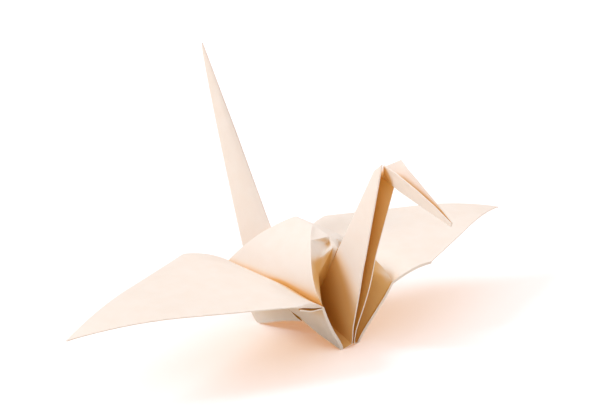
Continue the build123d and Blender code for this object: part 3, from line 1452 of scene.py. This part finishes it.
@dataclass(frozen=True)
class Half:
    """One half of the body with its wing and its wall, as it came out of the folding."""

    side: Side
    hinge_tilt: float
    swell: float
    tip_shift: Vector
    lip_height: float

    def turned(self, leaf: Leaf) -> Leaf:
        """A layer drawn for the near side, on this half's side."""
        return leaf.mirrored() if self.side is Side.FAR else leaf

    def body(self, settled: Pose) -> tuple[Leaf, Leaf, Leaf]:
        """The upper layers of this half.

        Args:
            settled: the pose that both halves share at the crest.

        Returns:
            The skin of back and wing, the wing's undersides, and the flaps under the wing's root.
        """
        pose, skin = Pose(self.hinge_tilt), Leaf()
        hump = Hump(pose, settled, self.swell)
        pockets = Pockets(pose, hump, self.side)
        wing = Wing(pose, self.tip_shift, self.lip_height)
        for leaf in (hump.leaf(), pockets.front(), pockets.rear(), wing.top()):
            skin.join(leaf)
        return self.turned(skin), self.turned(wing.under()), self.turned(wing.root_flaps())

    def wall(self) -> tuple[Leaf, Leaf]:
        """The wall under the wing.

        Returns:
            Its inner leaf, and the flaps outside it.
        """
        wall = Wall(Pose(self.hinge_tilt))
        return self.turned(wall.leaf()), self.turned(wall.flaps())


@dataclass
class Crane:
    """The whole folded sheet: two halves that differ a little, as they do after folding by hand.

    The pushes move the front corner of the near wing, the front foot and the rear foot under it,
    and the front corner of the far wing.
    """

    paper: Paper = field(default_factory=Paper)
    pose: Pose = field(default_factory=Pose)
    near: Half = Half(
        Side.NEAR,
        hinge_tilt=2.0,
        swell=0.002,
        tip_shift=Vector((0.0, -0.0008, 0.00075)),
        lip_height=0.0002,
    )
    far: Half = Half(
        Side.FAR,
        hinge_tilt=0.2,
        swell=0.0008,
        tip_shift=Vector((0.0, 0.0019, 0.00104)),
        lip_height=0.0,
    )
    limb_thickness: float = 0.00032
    tail_bulge: Vector = Vector((-0.0012, 0.0, 0.0))
    tail_puff: float = 0.0007
    tail_rows: int = 60
    sharp_angle: float = 32.0
    pushes: tuple[Push, ...] = (
        Push((0.01299, -0.00964, 0.01429), (-0.0013, 0.0, -0.0011), 0.015),
        Push((0.01023, -0.0028, 0.0), (0.0005, 0.00045, 0.0), 0.007),
        Push((-0.01869, -0.0032, 0.0), (0.0012, -0.0019, 0.0), 0.014),
        Push((0.01299, 0.00964, 0.01429), (0.0014, 0.0009, 0.0005), 0.015),
    )

    def limbs(self, side: Side) -> dict[str, Limb]:
        """Halves of the neck, the head and the tail.

        Args:
            side: the half.

        Returns:
            Their strips by name, drawn for the near side.
        """
        at = self.pose.points
        neck = Limb((at["front_valley"], at["nape"]), (at["front_foot"], at["neck_toe"], at["crown"]))
        tail_spine, tail_edge = (at["rear_valley"], at["tail_tip"]), (at["rear_foot"], at["tail_tip"])
        tail = Limb(tail_spine, tail_edge, self.tail_bulge, self.tail_puff, rows=self.tail_rows)
        return {"neck": neck, "head": Head().limb(self.pose, side), "tail": tail}

    def layers(self) -> list[tuple[str, Leaf, float]]:
        """Every layer of paper.

        Returns:
            The layers with their names and thicknesses.
        """
        base = self.pose.base
        plan = (("back_and_wings", base.ply), ("wing_undersides", base.ply), ("wing_roots", base.pressed))
        found = []
        for (name, thickness), near, far in zip(plan, self.near.body(self.pose), self.far.body(self.pose)):
            near.join(far)
            found.append((name, near, thickness))
        for half in (self.near, self.far):
            side = half.side.value
            leaf, flaps = half.wall()
            found.append((f"{side}_wall", leaf, base.pressed))
            found.append((f"{side}_wall_flaps", flaps, base.pressed))
            for name, limb in self.limbs(half.side).items():
                found.append((f"{side}_{name}", half.turned(limb.leaf()), self.limb_thickness))
        return found

    def joined(self, things: list[bpy.types.Object]) -> bpy.types.Object:
        """One object from several.

        Args:
            things: the finished layers.

        Returns:
            The crane, standing on the floor and smooth apart from its folds.
        """
        with bpy.context.temp_override(active_object=things[0], selected_editable_objects=things):
            bpy.ops.object.join()
        crane = things[0]
        crane.name = crane.data.name = "folded_crane"
        for vertex in crane.data.vertices:
            vertex.co.z = max(vertex.co.z, 0.0)
        crane.data.shade_smooth()
        crane.data.set_sharp_from_angle(angle=radians(self.sharp_angle))
        return crane

    def build(self) -> bpy.types.Object:
        """Builds the crane as one piece and puts it in the place of the CAD solid.

        Returns:
            The piece.
        """
        finishing = Finishing(self.paper.material())
        tree = finishing.tree()
        things = []
        for name, leaf, thickness in self.layers():
            things.append(finishing.finish(tree, name, leaf, thickness))
            LOG.info("%s: %d faces", name, len(things[-1].data.polygons))
        crane = self.joined(things)
        for push in self.pushes:
            push.apply(crane.data)
        # depths at which the paper's colour is painted with shade
        Shelter().measure(crane.data)
        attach(crane, "root")
        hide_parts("crane")
        return crane


@dataclass(frozen=True)
class Studio:
    """White floor, soft key light from the left, pale dome, and the camera.

    The camera's place is an azimuth and an elevation in radians and a distance from a target, and
    the axis pixel is where the picture's optical axis lies. The floor shows the camera one colour
    and throws another one back on the crane; its lift is a painted warm glow that only the camera
    sees, which fills the crane's shadow with painted peach light while the lit floor stays white.
    """

    picture: tuple[int, int] = (612, 408)
    sensor: float = 36.0
    clip: tuple[float, float] = (0.01, 20.0)
    target: Vector = Vector((-0.0042256, 0, 0.0225))
    azimuth: float = 0.8402
    elevation: float = 0.3200
    roll: float = -0.0109
    distance: float = 0.39435
    focal_pixels: float = 1615.31
    axis_pixel: tuple[float, float] = (307.72, 244.58)
    key_direction: Vector = Vector((-0.76, -1.04, 1.0))
    key_strength: float = 1.25
    key_angle: float = 20.0
    key_color: tuple[float, float, float] = (0.95, 1.0, 1.05)
    top_strength: float = 1.3
    top_angle: float = 100.0
    dome_strength: float = 0.52
    dome_color: tuple[float, float, float] = (1.0, 0.955, 0.92)
    floor_half: float = 6.0
    floor_roughness: float = 0.9
    floor_gloss: float = 0.1
    floor_bounce: tuple[float, float, float] = (0.93, 0.87, 0.79)
    floor_seen: tuple[float, float, float] = (0.6, 0.84, 1.0)
    # painted warm glow that only the camera sees; it tints the floor's shadow peach
    floor_painted_glow: tuple[float, float, float] = (0.53, 0.22, 0.075)

    def camera(self) -> bpy.types.Object:
        """Camera at the photograph's viewing angle.

        Returns:
            The camera, which the scene uses.
        """
        data = bpy.data.cameras.new("camera")
        data.sensor_width = self.sensor
        width, height = self.picture
        data.lens = self.focal_pixels / width * self.sensor
        data.shift_x = (width / 2 - self.axis_pixel[0]) / width
        data.shift_y = (self.axis_pixel[1] - height / 2) / width
        data.clip_start, data.clip_end = self.clip
        back = Vector((
            sin(self.azimuth) * cos(self.elevation),
            -cos(self.azimuth) * cos(self.elevation),
            sin(self.elevation),
        ))
        level = Vector((cos(self.azimuth), sin(self.azimuth), 0))
        upright = back.cross(level)
        right = level * cos(self.roll) + upright * sin(self.roll)
        up = upright * cos(self.roll) - level * sin(self.roll)
        thing = bpy.data.objects.new("camera", data)
        turned = Matrix((right, up, back)).transposed().to_4x4()
        thing.matrix_world = Matrix.Translation(self.target + back * self.distance) @ turned
        bpy.context.scene.collection.objects.link(thing)
        bpy.context.scene.camera = thing
        return thing

    def lamp(self, name: str, towards: Vector, strength: float, angle: float) -> bpy.types.Light:
        """Adds a soft lamp.

        Args:
            name: the lamp's name.
            towards: direction from the crane to the lamp.
            strength: its strength.
            angle: how wide it looks from the crane, in degrees.

        Returns:
            The lamp's data.
        """
        data = bpy.data.lights.new(name, "SUN")
        data.energy = strength
        data.angle = radians(angle)
        thing = bpy.data.objects.new(name, data)
        thing.matrix_world = towards.to_track_quat("Z", "Y").to_matrix().to_4x4()
        bpy.context.scene.collection.objects.link(thing)
        return data

    def lamps(self) -> None:
        """Soft key light from the left, and a wide one overhead."""
        key = self.lamp("key", self.key_direction, self.key_strength, self.key_angle)
        key.color = self.key_color
        self.lamp("top", Vector((0, 0, 1)), self.top_strength, self.top_angle)

    def dome(self) -> None:
        """Pale dome: white where the camera, a gloss or a glass sees it, softer as a light."""
        world = bpy.data.worlds.new("dome")
        bpy.context.scene.world = world
        world.use_nodes = True
        nodes, links = world.node_tree.nodes, world.node_tree.links
        nodes.clear()
        path = nodes.new("ShaderNodeLightPath")
        seen, light = nodes.new("ShaderNodeBackground"), nodes.new("ShaderNodeBackground")
        light.inputs["Strength"].default_value = self.dome_strength
        mix, output = nodes.new("ShaderNodeMixShader"), nodes.new("ShaderNodeOutputWorld")
        seen.inputs["Color"].default_value = (1, 1, 1, 1)
        light.inputs["Color"].default_value = (*self.dome_color, 1)
        shown = nodes.new("ShaderNodeMath")
        shown.operation = "MAXIMUM"
        links.new(path.outputs["Is Camera Ray"], shown.inputs[0])
        links.new(path.outputs["Is Glossy Ray"], shown.inputs[1])
        clear = nodes.new("ShaderNodeMath")
        clear.operation = "MAXIMUM"
        links.new(shown.outputs[0], clear.inputs[0])
        links.new(path.outputs["Is Transmission Ray"], clear.inputs[1])
        links.new(clear.outputs[0], mix.inputs[0])
        links.new(light.outputs[0], mix.inputs[1])
        links.new(seen.outputs[0], mix.inputs[2])
        links.new(mix.outputs[0], output.inputs["Surface"])

    def floor(self) -> bpy.types.Object:
        """White floor that keeps the crane's shadow.

        Returns:
            The floor.
        """
        half = self.floor_half
        mesh = bpy.data.meshes.new("floor")
        corners = [(-half, -half, 0), (half, -half, 0), (half, half, 0), (-half, half, 0)]
        mesh.from_pydata(corners, [], [(0, 1, 2, 3)])
        thing = bpy.data.objects.new("floor", mesh)
        bpy.context.scene.collection.objects.link(thing)
        material = bpy.data.materials.new("floor")
        material.use_nodes = True
        nodes, links = material.node_tree.nodes, material.node_tree.links
        shader = nodes["Principled BSDF"]
        shader.inputs["Roughness"].default_value = self.floor_roughness
        shader.inputs["Specular IOR Level"].default_value = self.floor_gloss
        path, color = nodes.new("ShaderNodeLightPath"), nodes.new("ShaderNodeMix")
        color.data_type = "RGBA"
        color.inputs[6].default_value = (*self.floor_bounce, 1)
        # cool colour that the camera sees, so that with the painted glow the lit floor shows white and its
        # shadow peach
        color.inputs[7].default_value = (*self.floor_seen, 1)
        links.new(path.outputs["Is Camera Ray"], color.inputs[0])
        links.new(color.outputs[2], shader.inputs["Base Color"])
        # painted warm glow for camera rays only: it fills the crane's shadow with painted peach light,
        # while the lit floor clips to white
        shader.inputs["Emission Color"].default_value = (*self.floor_painted_glow, 1)
        links.new(path.outputs["Is Camera Ray"], shader.inputs["Emission Strength"])
        mesh.materials.append(material)
        return thing


def main() -> None:
    """Builds the studio and the crane."""
    logging.basicConfig(level=logging.INFO, format="%(message)s")
    bpy.context.scene.view_settings.view_transform = "Standard"
    studio = Studio()
    studio.camera()
    studio.lamps()
    studio.dome()
    studio.floor()
    crane = Crane().build()
    LOG.info("crane: %d faces", len(crane.data.polygons))


if __name__ == "__main__":
    main()
